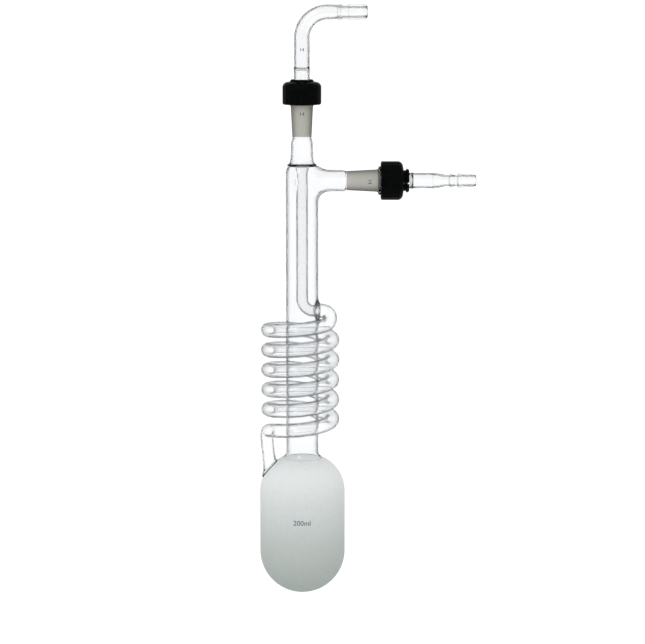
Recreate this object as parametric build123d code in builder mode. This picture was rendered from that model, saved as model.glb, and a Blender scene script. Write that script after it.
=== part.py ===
"""A coil-type laboratory cold trap in borosilicate glass, with two screw-clamped taper joints.

Gas enters the bent hose connector at the top and goes down a narrow tube inside the riser. It leaves
through a ring seal in the riser's wall, and goes down the coil into the receiver bulb, where the
condensate stays. The dry gas goes back up the riser, round the narrow tube, and out of the side arm.

Millimetres. +Z is up along the riser, +X points along the side arm, and the origin is on the riser's
axis, in the middle of the plain length that a stand's clamp grips.
"""

import os
from math import cos, pi, radians, sin, sqrt

from build123d import *

# ---- Driving dimensions --------------------------------------------------------------------------

glass_wall = 1.5  # of the bulb, the riser and the tee

# Receiver bulb, drawn from tube, with a round bottom.
bulb_r = 30.0
bulb_bottom_z = -243.4
bulb_shoulder_z = -170.4  # where the straight side ends
shoulder_r = 26.0
shoulder_turn = 60.0  # degrees that the shoulder turns inwards
foot_r = 6.0  # radius of the hollow curve from the shoulder into the riser
bulb_seam_z = -146.5  # the bulb is sealed to the riser here

# Riser, the wide tube that the dry gas goes up.
riser_r = 11.3
head_bottom_z = 34.0  # the tee is sealed to the riser here
head_shoulder_z = 54.5
dome_r = 8.0  # radius of the head's rounded shoulder
dome_turn = 38.0  # degrees that it turns inwards
ring_seal_low_z = 59.6
ring_seal_high_z = 61.0
ring_seal_r = 10.2

# Side arm, the branch of the tee.
arm_z = 49.6
arm_r = 7.45
arm_wall = 1.3
arm_seam_x = 17.5
arm_end_x = 27.6

# Down tube, inside the riser.
down_r = 4.0
down_wall = 1.0
flare_r = 6.5  # its trumpet mouth, sealed to the ring seal
flare_height = 5.0
exit_z = -41.6  # height of the ring seal in the riser's wall
exit_from_x = 8.2
exit_to_x = 12.8
exit_seal_r = 5.4

# Condensing coil.
coil_r = 22.5  # radius of its centreline
coil_tube_r = 5.0
coil_wall = 1.1
coil_pitch = 14.1
coil_offset = -1.4  # its axis stands a little to the left of the riser's
coil_top_z = -48.1  # height of the centreline at its right-hand side
coil_start = 40.0  # degrees from +X, by way of the front, where the inlet bend meets the coil
coil_end = 5.5 * 360.0 - 25.0

# Return leg, from the coil's end into the bulb's shoulder.
leg_tube_r = 4.6
leg_wall = 1.0
leg_top = (-24.9, -1.0, -133.0)
leg_aim = (-22.4, 0.0, -158.0)
leg_bore_reach = 8.0  # how far its bore is cut past its end, through the shoulder's wall

# Taper joints, 1 in 10 on the diameter, 14 mm at the mouth.
joint_length = 30.5
small_end_r = 5.45
taper = 1.0 / 20.0  # change of radius with length
seat_gap = 0.05  # radial clearance of the ground faces
socket_wall = 1.2
cone_tip = 0.6  # heights above the socket's narrow end
cone_ground_top = 29.0
cone_shoulder_top = 30.6
top_joint_z = 80.2
side_joint_x = 31.0

# Glass flange and screw thread on each socket.
thread_pitch = 3.0
flange_low = 21.9
flange_high = 23.5
flange_r = 10.05
thread_core_r = 9.2
thread_crest_r = 10.1
thread_from = 25.4
thread_turns = 1.35

# Screw cap.
cap_rim = 22.1  # height of its rim above the socket's narrow end when it is screwed down
cap_height = 15.6
cap_r = 13.4
cap_bore_r = 10.4
cap_web_low = 13.4  # heights above the rim
cap_recess = 14.7
cap_shoulder = 12.0
cap_roof_r = 10.4
cap_hole_r = 7.5
cap_recess_r = 8.6
cap_thread_r = 9.5
cap_thread_from = 2.6
cap_thread_turns = 2.1
flute_count = 18
flute_r = 1.3
flute_depth = 0.45
side_cap_back_off = thread_pitch / 2  # the side cap stands half a turn out

# Split collar, a spool that the cap turns on and that grips the bead of the cone.
collar_foot_r = 9.1
collar_foot_height = 1.6
collar_waist_r = 7.2
collar_lip_low = 5.95
collar_lip_r = 8.2
collar_end_r = 7.4
collar_length = 8.3
collar_bore_r = 5.6
collar_slit = 1.5
bead_height = 3.4  # above the collar's foot
bead_r = 6.3
bead_half = 1.0
groove_gap = 0.25
top_collar_foot = 30.9
side_collar_foot = 34.9

# Hose connectors.
tube_r = 5.3
tube_wall = 1.2
nipple_bore_r = 2.3
top_seam = 46.6  # height above the socket's narrow end where the cone's stem is sealed to the tube
side_seam = 45.2
seam_bulge = 0.3
top_axis_z = 165.5
top_bend_r = 17.6
top_tube_x = 20.6
side_tube_x = 90.8

# ---- Derived places ------------------------------------------------------------------------------

bulb_centre_z = bulb_bottom_z + bulb_r
turn_share = 1 - cos(radians(shoulder_turn))
foot_slope = bulb_r - riser_r - (shoulder_r + foot_r) * turn_share
coil_fall = coil_pitch / (2 * pi * coil_r)  # for each unit of the coil's length seen from above
top_seat = Plane(origin=(0, 0, top_joint_z), x_dir=(1, 0, 0), z_dir=(0, 0, 1))
side_seat = Plane(origin=(side_joint_x, 0, arm_z), x_dir=(0, 0, 1), z_dir=(1, 0, 0))
exit_plane = Plane(origin=(0, 0, exit_z), x_dir=(0, 0, 1), z_dir=(1, 0, 0))
arm_plane = Plane(origin=(0, 0, arm_z), x_dir=(0, 0, 1), z_dir=(1, 0, 0))

os.makedirs("parts", exist_ok=True)


def save(part, label):
    """Labels a finished piece and writes it as the node of that name."""
    part.label = label
    export_step(part, f"parts/{label}.step")


def lengthways(seat):
    """The plane through a seat's axis: its x is the radius, and its y the height above the seat."""
    return Plane(origin=seat.origin, x_dir=seat.x_dir, z_dir=-seat.y_dir)


def centre_line(seat):
    return Axis(seat.origin, seat.z_dir)


def socket_bore(height):
    """Radius of a socket's ground bore at a height above its narrow end."""
    return small_end_r + taper * height


def on_coil(degrees):
    """A point of the coil's centreline, that many degrees round from +X by way of the front."""
    turn = radians(degrees)
    fall = coil_pitch * degrees / 360
    return Vector(coil_offset + coil_r * cos(turn), -coil_r * sin(turn), coil_top_z - fall)


def along_coil(degrees):
    """The coil's direction there, going down."""
    turn = radians(degrees)
    return Vector(-sin(turn), -cos(turn), -coil_fall).normalized()


def bend_middle(start, start_way, end, end_way):
    """The point where two tangent arcs meet that join one direction smoothly to another."""
    both = start_way + end_way
    span = end - start
    square = 4 - both.dot(both)
    half = span.dot(both)
    reach = (sqrt(half * half + square * span.dot(span)) - half) / square
    return (start + start_way * reach + end - end_way * reach) / 2


def ring(outer, wall):
    """A tube's section, for the sketch in hand."""
    Circle(outer)
    Circle(outer - wall, mode=Mode.SUBTRACT)


# ---- Receiver bulb and riser ---------------------------------------------------------------------


def vessel_side(inset):
    """Draws a side of the vessel's wall from its bottom to the riser's end, and returns its ends."""
    side = bulb_r - inset
    bottom = CenterArc((0, bulb_centre_z), side, -90, 90)
    wall = Line(bottom @ 1, (side, bulb_shoulder_z))
    shoulder = JernArc(wall @ 1, (0, 1), shoulder_r - inset, shoulder_turn)
    way = shoulder % 1
    slope = Line(shoulder @ 1, shoulder @ 1 + way * (foot_slope / sin(radians(shoulder_turn))))
    foot = JernArc(slope @ 1, way, foot_r + inset, -shoulder_turn)
    neck = Line(foot @ 1, (riser_r - inset, head_bottom_z))
    return bottom @ 0, neck @ 1


def draw_vessel():
    """The bulb's and the riser's wall in one closed half section, for the sketch in hand."""
    with BuildLine() as wall_line:
        outer_start, outer_end = vessel_side(0)
        inner_start, inner_end = vessel_side(glass_wall)
        Line(outer_start, inner_start)
        Line(outer_end, inner_end)
    make_face(wall_line.edges())


leg_start = on_coil(coil_end)
leg_way = (Vector(leg_aim) - Vector(leg_top)).normalized()
leg_middle = bend_middle(leg_start, along_coil(coil_end), Vector(leg_top), leg_way)

with BuildPart() as receiver_bulb:
    with BuildSketch(Plane.XZ):
        draw_vessel()
    revolve(axis=Axis.Z)
    split(bisect_by=Plane.XY.offset(bulb_seam_z), keep=Keep.BOTTOM)
    with BuildSketch(Plane(origin=leg_top, z_dir=leg_way)):
        Circle(leg_tube_r)
    extrude(amount=(Vector(leg_aim) - Vector(leg_top)).length + leg_bore_reach, mode=Mode.SUBTRACT)
save(receiver_bulb.part, "receiver_bulb")

with BuildPart() as riser_tube:
    with BuildSketch(Plane.XZ):
        draw_vessel()
    revolve(axis=Axis.Z)
    split(bisect_by=Plane.XY.offset(bulb_seam_z), keep=Keep.TOP)
    with BuildSketch(exit_plane):
        Circle(exit_seal_r)
    extrude(amount=riser_r + 2, mode=Mode.SUBTRACT)
save(riser_tube.part, "riser_tube")

# ---- Tee at the riser's head, and its branch -----------------------------------------------------


def head_outline(inset):
    """Half outline of the tee's upright, down the axis and round the domed shoulder."""
    with BuildLine() as outline:
        side = Line((riser_r - inset, head_bottom_z), (riser_r - inset, head_shoulder_z))
        dome = JernArc(side @ 1, (0, 1), dome_r, dome_turn)
        top = Line(dome @ 1, (ring_seal_r - inset - 0.6, ring_seal_low_z))
        Polyline(top @ 1, (0, ring_seal_low_z), (0, head_bottom_z), side @ 0)
    make_face(outline.edges())


with BuildPart() as riser_head:
    with BuildSketch(Plane.XZ):
        head_outline(0)
    revolve(axis=Axis.Z)
    with BuildSketch(arm_plane):
        Circle(arm_r)
    extrude(amount=arm_seam_x)
    with BuildSketch(Plane.XZ):
        head_outline(glass_wall)
    revolve(axis=Axis.Z, mode=Mode.SUBTRACT)
    with BuildSketch(arm_plane):
        Circle(arm_r - arm_wall)
    extrude(amount=arm_seam_x, mode=Mode.SUBTRACT)
save(riser_head.part, "riser_head")

with BuildPart() as side_arm:
    with BuildSketch(arm_plane.offset(arm_seam_x)):
        ring(arm_r, arm_wall)
    extrude(amount=arm_end_x - arm_seam_x)
save(side_arm.part, "side_arm")

# ---- Ring seals and the down tube ----------------------------------------------------------------

with BuildPart() as head_ring_seal:
    with BuildSketch(Plane.XZ):
        with BuildLine():
            rim = ThreePointArc(
                (ring_seal_r - 0.6, ring_seal_low_z),
                (ring_seal_r, (ring_seal_low_z + ring_seal_high_z) / 2),
                (ring_seal_r - 0.6, ring_seal_high_z),
            )
            Polyline(
                rim @ 1,
                (flare_r - down_wall, ring_seal_high_z),
                (flare_r - down_wall, ring_seal_low_z),
                rim @ 0,
            )
        make_face()
    revolve(axis=Axis.Z)
save(head_ring_seal.part, "head_ring_seal")

with BuildPart() as down_tube:
    neck_z = ring_seal_low_z - flare_height
    with BuildSketch(Plane.XZ):
        with BuildLine():
            flare = Bezier(
                (down_r, neck_z),
                (down_r, neck_z + flare_height * 0.7),
                (flare_r, ring_seal_low_z - 1.2),
                (flare_r, ring_seal_low_z),
            )
            bore = Bezier(
                (down_r - down_wall, neck_z),
                (down_r - down_wall, neck_z + flare_height * 0.7),
                (flare_r - down_wall, ring_seal_low_z - 1.2),
                (flare_r - down_wall, ring_seal_low_z),
            )
            Line(flare @ 0, bore @ 0)
            Line(flare @ 1, bore @ 1)
        make_face()
    revolve(axis=Axis.Z)
    with BuildLine() as down_line:
        drop = Line((0, 0, neck_z), (0, 0, exit_z + exit_from_x))
        TangentArc(drop @ 1, (exit_from_x, 0, exit_z), tangent=(0, 0, -1))
    with BuildSketch(Plane(origin=(0, 0, neck_z), x_dir=(1, 0, 0), z_dir=(0, 0, -1))):
        ring(down_r, down_wall)
    sweep(path=down_line.wire())
save(down_tube.part, "down_tube")

with BuildPart() as wall_ring_seal:
    with BuildSketch(lengthways(exit_plane)):
        with BuildLine():
            face = Polyline(
                (down_r - down_wall, exit_from_x),
                (exit_seal_r, exit_from_x),
                (exit_seal_r, exit_to_x - 0.8),
            )
            corner = ThreePointArc(face @ 1, (exit_seal_r - 0.12, exit_to_x - 0.3), (coil_tube_r, exit_to_x))
            Polyline(corner @ 1, (coil_tube_r - coil_wall, exit_to_x), face @ 0)
        make_face()
    revolve(axis=centre_line(exit_plane))
save(wall_ring_seal.part, "wall_ring_seal")

# ---- Condensing coil -----------------------------------------------------------------------------

with BuildPart() as coil_inlet_bend:
    inlet_start = Vector(exit_to_x, 0, exit_z)
    inlet_end = on_coil(coil_start)
    inlet_middle = bend_middle(inlet_start, Vector(1, 0, 0), inlet_end, along_coil(coil_start))
    with BuildLine() as inlet_line:
        first = TangentArc(inlet_start, inlet_middle, tangent=(1, 0, 0))
        TangentArc(inlet_middle, inlet_end, tangent=first % 1)
    with BuildSketch(Plane(origin=inlet_start, z_dir=(1, 0, 0))):
        ring(coil_tube_r, coil_wall)
    sweep(path=inlet_line.wire())
save(coil_inlet_bend.part, "coil_inlet_bend")

low_end = on_coil(coil_end)
coil_height = coil_pitch * (coil_end - coil_start) / 360
coil_foot = Plane(origin=(coil_offset, 0, low_end.Z), x_dir=(low_end.X - coil_offset, low_end.Y, 0))
coil_line = coil_foot.location * Helix(coil_pitch, coil_height, coil_r)

with BuildPart() as cooling_coil:
    with BuildSketch(Plane(origin=low_end, z_dir=-along_coil(coil_end))):
        ring(coil_tube_r, coil_wall)
    sweep(path=coil_line, is_frenet=True)
save(cooling_coil.part, "cooling_coil")

with BuildPart() as coil_return_leg:
    with BuildLine() as leg_line:
        turn_in = TangentArc(leg_start, leg_middle, tangent=along_coil(coil_end))
        TangentArc(leg_middle, leg_top, tangent=turn_in % 1)
        Line(leg_top, leg_aim)
    with BuildSketch(Plane(origin=leg_start, z_dir=along_coil(coil_end))):
        ring(leg_tube_r, leg_wall)
    sweep(path=leg_line.wire())
save(coil_return_leg.part, "coil_return_leg")

# ---- Ground sockets ------------------------------------------------------------------------------


def socket_tail(seat, profile, wall, rise):
    """Clear glass below a socket's ground length: a smooth curve through the profile's points."""
    with BuildPart() as tail:
        with BuildSketch(lengthways(seat)):
            with BuildLine():
                outside = Spline([(radius, height) for radius, height in profile], tangents=[rise, (0, 1)])
                inner_points = [(radius - wall, height) for radius, height in profile]
                inside = Spline(inner_points, tangents=[rise, (0, 1)])
                Line(outside @ 0, inside @ 0)
                Line(outside @ 1, inside @ 1)
            make_face()
        revolve(axis=centre_line(seat))
    return tail.part


def thread_ridge(seat, height, angle, turns, root_r, crest_r):
    """A rounded screw ridge on a core or in a bore, starting at a height and an angle."""
    step = 1 if crest_r > root_r else -1
    turn = radians(angle)
    way = seat.x_dir * cos(turn) + seat.y_dir * sin(turn)
    start = Plane(origin=seat.origin + seat.z_dir * height, x_dir=way, z_dir=seat.z_dir)
    ridge_line = start.location * Helix(thread_pitch, thread_pitch * turns, root_r)
    with BuildPart() as ridge:
        with BuildSketch(Plane(origin=start.origin, x_dir=start.x_dir, z_dir=-start.y_dir)):
            with BuildLine():
                Polyline(
                    (root_r - 0.4 * step, -1.0),
                    (crest_r, -0.35),
                    (crest_r, 0.35),
                    (root_r - 0.4 * step, 1.0),
                    close=True,
                )
            make_face()
        sweep(path=ridge_line, is_frenet=True)
    return ridge.part


def ground_socket(seat):
    """The ground socket, with the flange that the cap closes against and the glass thread."""
    ridge = thread_ridge(seat, thread_from, 0, thread_turns, thread_core_r, thread_crest_r)
    with BuildPart() as socket:
        with BuildSketch(lengthways(seat)):
            with BuildLine():
                Polyline(
                    (small_end_r, 0),
                    (small_end_r + socket_wall, 0),
                    (socket_bore(flange_low - 2) + socket_wall, flange_low - 2),
                )
                ThreePointArc(
                    (socket_bore(flange_low - 2) + socket_wall, flange_low - 2),
                    (socket_bore(flange_low - 0.6) + socket_wall + 0.35, flange_low - 0.6),
                    (flange_r - 0.9, flange_low),
                )
                ThreePointArc(
                    (flange_r - 0.9, flange_low),
                    (flange_r, (flange_low + flange_high) / 2),
                    (flange_r - 0.85, flange_high),
                )
                Polyline(
                    (flange_r - 0.85, flange_high),
                    (thread_core_r, flange_high + 0.3),
                    (thread_core_r, joint_length - 0.8),
                    (thread_core_r - 0.8, joint_length),
                    (socket_bore(joint_length) + 0.3, joint_length),
                    (socket_bore(joint_length - 0.4), joint_length - 0.4),
                    (small_end_r, 0),
                )
            make_face()
        revolve(axis=centre_line(seat))
        add(ridge)
    return socket.part


top_tail_profile = [(9.3, -19.2), (8.15, -16.6), (7.65, -10.5), (7.45, -4.2), (6.6, -1.4), (6.65, 0)]
side_tail_profile = [(7.45, arm_end_x - side_joint_x), (7.3, -1.7), (6.7, -0.9), (6.65, 0)]

save(socket_tail(top_seat, top_tail_profile, socket_wall, (-1, 1)), "top_socket_tail")
save(socket_tail(side_seat, side_tail_profile, socket_wall, (0, 1)), "side_socket_tail")
save(ground_socket(top_seat), "top_ground_socket")
save(ground_socket(side_seat), "side_ground_socket")

# ---- Screw caps and split collars ----------------------------------------------------------------


def screw_cap(seat, back_off):
    """A fluted cap, screwed out from the bottom of its thread by a distance."""
    rim = cap_rim + back_off
    start = rim + cap_thread_from
    angle = 180 + 360 * (start - thread_from) / thread_pitch  # half a pitch off the glass thread
    ridge = thread_ridge(seat, start, angle, cap_thread_turns, cap_bore_r, cap_thread_r)
    with BuildPart() as cap:
        with BuildSketch(lengthways(seat)):
            with BuildLine():
                Polyline(
                    (cap_bore_r, rim + 0.5),
                    (cap_bore_r + 0.5, rim),
                    (cap_r - 0.7, rim),
                    (cap_r, rim + 0.7),
                    (cap_r, rim + cap_shoulder),
                )
                shoulder = ThreePointArc(
                    (cap_r, rim + cap_shoulder),
                    (cap_r - 1.0, rim + cap_shoulder + 2.2),
                    (cap_roof_r, rim + cap_height - 0.3),
                )
                Polyline(
                    shoulder @ 1,
                    (cap_recess_r + 0.3, rim + cap_height),
                    (cap_recess_r, rim + cap_recess),
                    (cap_hole_r, rim + cap_recess),
                    (cap_hole_r, rim + cap_web_low),
                    (cap_bore_r, rim + cap_web_low),
                    (cap_bore_r, rim + 0.5),
                )
            make_face()
        revolve(axis=centre_line(seat))
        with BuildSketch(seat.offset(rim)):
            with PolarLocations(cap_r + flute_r - flute_depth, flute_count):
                Circle(flute_r)
        extrude(amount=cap_height, mode=Mode.SUBTRACT)
        add(ridge)
    return cap.part


def split_collar(seat, foot, slit_angle):
    """A spool with a groove for the bead, slit along one side so that it springs over the glass."""
    groove_low = foot + bead_height - bead_half - groove_gap
    groove_high = foot + bead_height + bead_half + groove_gap
    turn = radians(slit_angle)
    way = seat.x_dir * cos(turn) + seat.y_dir * sin(turn)
    with BuildPart() as collar:
        with BuildSketch(lengthways(seat)):
            with BuildLine():
                Polyline(
                    (collar_bore_r + 0.3, foot),
                    (collar_foot_r - 0.4, foot),
                    (collar_foot_r, foot + 0.4),
                    (collar_foot_r, foot + collar_foot_height),
                    (collar_waist_r, foot + collar_foot_height),
                    (collar_waist_r, foot + collar_lip_low),
                    (collar_lip_r, foot + collar_lip_low + 0.5),
                    (collar_lip_r, foot + collar_length - 1.0),
                    (collar_end_r, foot + collar_length),
                    (collar_bore_r + 0.3, foot + collar_length),
                    (collar_bore_r, foot + collar_length - 0.3),
                    (collar_bore_r, groove_high),
                    (bead_r + groove_gap, groove_high),
                    (bead_r + groove_gap, groove_low),
                    (collar_bore_r, groove_low),
                    (collar_bore_r, foot + 0.3),
                    close=True,
                )
            make_face()
        revolve(axis=centre_line(seat))
        with BuildSketch(Plane(origin=seat.origin + seat.z_dir * foot, x_dir=way, z_dir=seat.z_dir)):
            with Locations((collar_foot_r / 2 + 1, 0)):
                Rectangle(collar_foot_r + 2, collar_slit)
        extrude(amount=collar_length, mode=Mode.SUBTRACT)
    return collar.part


save(screw_cap(top_seat, 0), "top_screw_cap")
save(screw_cap(side_seat, side_cap_back_off), "side_screw_cap")
save(split_collar(top_seat, top_collar_foot, 200), "top_split_collar")
save(split_collar(side_seat, side_collar_foot, 101), "side_split_collar")

# ---- Hose connectors -----------------------------------------------------------------------------


def ground_cone(seat, collar_foot, seam, lift):
    """The ground cone, lifted off its seat by a distance, with its stem and the collar's bead."""
    bead = collar_foot + bead_height
    tip = cone_tip + lift
    ground_top = cone_ground_top + lift
    shoulder_top = cone_shoulder_top + lift
    tip_r = socket_bore(cone_tip) - seat_gap
    ground_r = socket_bore(cone_ground_top) - seat_gap
    with BuildPart() as cone:
        with BuildSketch(lengthways(seat)):
            with BuildLine():
                Line((tip_r, tip), (ground_r, ground_top))
                shoulder = Bezier(
                    (ground_r, ground_top),
                    (ground_r, ground_top + 1.0),
                    (tube_r, shoulder_top - 1.0),
                    (tube_r, shoulder_top),
                )
                Line(shoulder @ 1, (tube_r, bead - bead_half))
                ThreePointArc((tube_r, bead - bead_half), (bead_r, bead), (tube_r, bead + bead_half))
                Line((tube_r, bead + bead_half), (tube_r, seam))
                Polyline(
                    (tube_r, seam),
                    (tube_r - tube_wall, seam),
                    (tube_r - tube_wall, shoulder_top),
                    (tip_r - tube_wall, ground_top - 4),
                    (tip_r - tube_wall, tip),
                    (tip_r, tip),
                )
            make_face()
        revolve(axis=centre_line(seat))
    return cone.part


def seam_ring(seat, seam):
    """A slight bulge where two tubes are fused, for the part in hand."""
    with BuildSketch(lengthways(seat)) as bulge_face:
        with BuildLine():
            bulge = ThreePointArc((tube_r, seam), (tube_r + seam_bulge, seam + 0.6), (tube_r, seam + 1.2))
            Polyline(bulge @ 1, (tube_r - 0.5, seam + 1.2), (tube_r - 0.5, seam), bulge @ 0)
        make_face()
    revolve(bulge_face.sketch, axis=centre_line(seat))


save(ground_cone(top_seat, top_collar_foot, top_seam, 0), "top_ground_cone")
save(ground_cone(side_seat, side_collar_foot, side_seam, side_cap_back_off), "side_ground_cone")

with BuildPart() as top_bent_tube:
    with BuildLine() as bent_line:
        rise_line = Line((0, 0, top_joint_z + top_seam), (0, 0, top_axis_z - top_bend_r))
        TangentArc(rise_line @ 1, (top_bend_r, 0, top_axis_z), tangent=(0, 0, 1))
        Line((top_bend_r, 0, top_axis_z), (top_tube_x, 0, top_axis_z))
    with BuildSketch(Plane.XY.offset(top_joint_z + top_seam)):
        ring(tube_r, tube_wall)
    sweep(path=bent_line.wire())
    seam_ring(top_seat, top_seam)
save(top_bent_tube.part, "top_bent_tube")

with BuildPart() as side_tube:
    with BuildSketch(side_seat.offset(side_seam)):
        ring(tube_r, tube_wall)
    extrude(amount=side_tube_x - side_joint_x - side_seam)
    seam_ring(side_seat, side_seam)
save(side_tube.part, "side_tube")


def hose_nipple(start, profile, tip_length, tip_r):
    """A barbed nipple: an outside line of radius and distance, and a rounded tip."""
    with BuildPart() as nipple:
        end = profile[-1][1] + tip_length
        with BuildSketch(lengthways(start)):
            with BuildLine():
                outside = Polyline(*profile)
                tip = TangentArc(outside @ 1, (tip_r, end), tangent=outside % 1)
                Polyline(
                    tip @ 1,
                    (nipple_bore_r, end),
                    (nipple_bore_r, profile[1][1]),
                    (profile[0][0] - tube_wall, 0),
                    outside @ 0,
                )
            make_face()
        revolve(axis=centre_line(start))
    return nipple.part


top_nipple_plane = Plane(origin=(top_tube_x, 0, top_axis_z), x_dir=(0, 0, 1), z_dir=(1, 0, 0))
side_nipple_plane = Plane(origin=(side_tube_x, 0, arm_z), x_dir=(0, 0, 1), z_dir=(1, 0, 0))
top_nipple_profile = [
    (5.3, 0), (4.75, 2.6), (4.75, 4.0), (5.4, 5.0), (5.4, 5.9), (4.6, 8.6), (4.6, 11.4), (5.45, 12.4),
    (5.45, 18.6),
]
side_nipple_profile = [
    (5.3, 0), (5.1, 2.2), (3.7, 9.6), (3.7, 11.0), (4.7, 12.0), (4.7, 13.0), (3.8, 15.0), (3.8, 16.8),
    (5.05, 17.7), (5.05, 18.9), (4.2, 25.6),
]
save(hose_nipple(top_nipple_plane, top_nipple_profile, 5.9, 3.6), "top_hose_nipple")
save(hose_nipple(side_nipple_plane, side_nipple_profile, 4.2, 3.1), "side_hose_nipple")
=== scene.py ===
"""The looks of a coil-type laboratory cold trap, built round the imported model.

Every glass piece is blown, drawn or ground: smooth shells and tubes with a real wall, in clear, sandblasted
or ground glass. The caps and collars are moulded plastic. Metres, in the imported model's frame.
"""

import math

import bmesh
import bpy
import numpy as np
from mathutils import Matrix, Vector


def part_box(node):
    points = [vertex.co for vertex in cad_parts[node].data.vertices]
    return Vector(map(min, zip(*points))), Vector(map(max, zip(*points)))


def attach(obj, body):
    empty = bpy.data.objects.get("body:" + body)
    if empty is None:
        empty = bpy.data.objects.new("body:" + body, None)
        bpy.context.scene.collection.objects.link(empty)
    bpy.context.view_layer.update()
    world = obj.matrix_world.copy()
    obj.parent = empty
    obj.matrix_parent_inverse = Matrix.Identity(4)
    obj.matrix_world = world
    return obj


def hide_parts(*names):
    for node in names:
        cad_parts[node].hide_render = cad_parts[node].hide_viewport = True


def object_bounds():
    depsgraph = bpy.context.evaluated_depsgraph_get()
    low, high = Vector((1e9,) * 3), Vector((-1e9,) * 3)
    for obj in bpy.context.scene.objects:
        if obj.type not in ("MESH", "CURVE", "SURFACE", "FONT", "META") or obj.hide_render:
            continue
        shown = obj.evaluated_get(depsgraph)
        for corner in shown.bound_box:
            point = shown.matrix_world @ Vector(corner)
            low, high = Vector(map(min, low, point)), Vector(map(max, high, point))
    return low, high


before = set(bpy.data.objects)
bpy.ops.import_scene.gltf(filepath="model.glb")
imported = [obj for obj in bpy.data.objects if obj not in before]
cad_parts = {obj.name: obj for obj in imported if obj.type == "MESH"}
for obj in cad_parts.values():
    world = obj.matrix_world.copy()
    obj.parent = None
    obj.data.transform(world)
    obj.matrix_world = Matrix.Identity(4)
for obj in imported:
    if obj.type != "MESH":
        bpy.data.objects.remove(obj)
cad_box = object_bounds()

# ---- Sizes ---------------------------------------------------------------------------------------

MM = 0.001
TRAP = "trap"
X = Vector((1, 0, 0))
Z = Vector((0, 0, 1))

bulb_low, bulb_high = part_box("receiver_bulb")
riser_low, riser_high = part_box("riser_tube")
head_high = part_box("riser_head")[1]
arm_low, arm_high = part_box("side_arm")
seal_low, seal_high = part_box("head_ring_seal")
coil_low, coil_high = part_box("cooling_coil")
exit_low, exit_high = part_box("wall_ring_seal")
top_socket_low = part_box("top_ground_socket")[0]
side_socket_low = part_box("side_ground_socket")[0]
top_cone_low, top_cone_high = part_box("top_ground_cone")
side_cone_low, side_cone_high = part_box("side_ground_cone")
top_tube_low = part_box("top_bent_tube")[0]
side_tube_low, side_tube_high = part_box("side_tube")
top_nipple_low, top_nipple_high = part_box("top_hose_nipple")
side_nipple_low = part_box("side_hose_nipple")[0]

glass_wall = 1.5 * MM
seam_gap = 0.015 * MM  # between pieces that are fused, so that no two faces lie on each other

bulb_r = bulb_high.x
shoulder_r = 26.0 * MM
shoulder_turn = math.radians(60)
foot_r = 6.0 * MM  # the hollow curve between the shoulder and the neck
shoulder_z = bulb_low.z + 73.0 * MM
bulb_seam_z = bulb_high.z

riser_r = head_high.y
ring_seal_z = seal_low.z
ring_seal_top = seal_high.z
ring_seal_r = seal_high.x

arm_z = (arm_low.z + arm_high.z) / 2
arm_r = (arm_high.z - arm_low.z) / 2
arm_wall = 1.3 * MM

down_r = 4.0 * MM
down_wall = 1.0 * MM
exit_z = (exit_low.z + exit_high.z) / 2
exit_x = exit_high.x

coil_tube_r = 5.0 * MM
coil_wall = 1.1 * MM
coil_r = (coil_high.y - coil_low.y) / 2 - coil_tube_r
coil_x = (coil_low.x + coil_high.x) / 2
coil_pitch = 14.1 * MM
coil_start = 40.0  # degrees from +X by way of the front
coil_end = 5.5 * 360.0 - 50.0
coil_top_z = -48.1 * MM

leg_r = 4.6 * MM
leg_foot_length = 27 * MM
leg_flare_from = 5.0 * MM
leg_spread = 1.6 * MM
leg_top = Vector((-24.9, -1.0, -133.0)) * MM
leg_aim = Vector((-22.4, 0.0, -158.0)) * MM
leg_way = (leg_aim - leg_top).normalized()

small_end_r = 5.45 * MM
taper = 1 / 20
socket_wall = 1.2 * MM
tube_r = 5.3 * MM
tube_wall = 1.2 * MM
bend_r = 17.6 * MM
thread_pitch = 3.0 * MM
thread_from = 25.4 * MM
thread_turns = 1.35
thread_core = 9.2 * MM
thread_crest = 10.1 * MM
cone_length = 28.4 * MM  # the ground part
top_bead = 34.3 * MM
side_bead = 38.3 * MM
top_axis_z = (top_nipple_low.z + top_nipple_high.z) / 2
nipple_bore_r = 2.75 * MM

print_height = 0.01 * MM
print_depth = 0.05 * MM  # how far the bulb stands back, to leave room for its mark

# ---- Camera, light and floor ---------------------------------------------------------------------

view_distance = 1.6
view_rise = math.radians(9)
view_centre = Vector(
    ((riser_low.x + riser_high.x) / 2 + 14.2 * MM, 0, (cad_box[0].z + cad_box[1].z) / 2 - 13.4 * MM)
)


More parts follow.
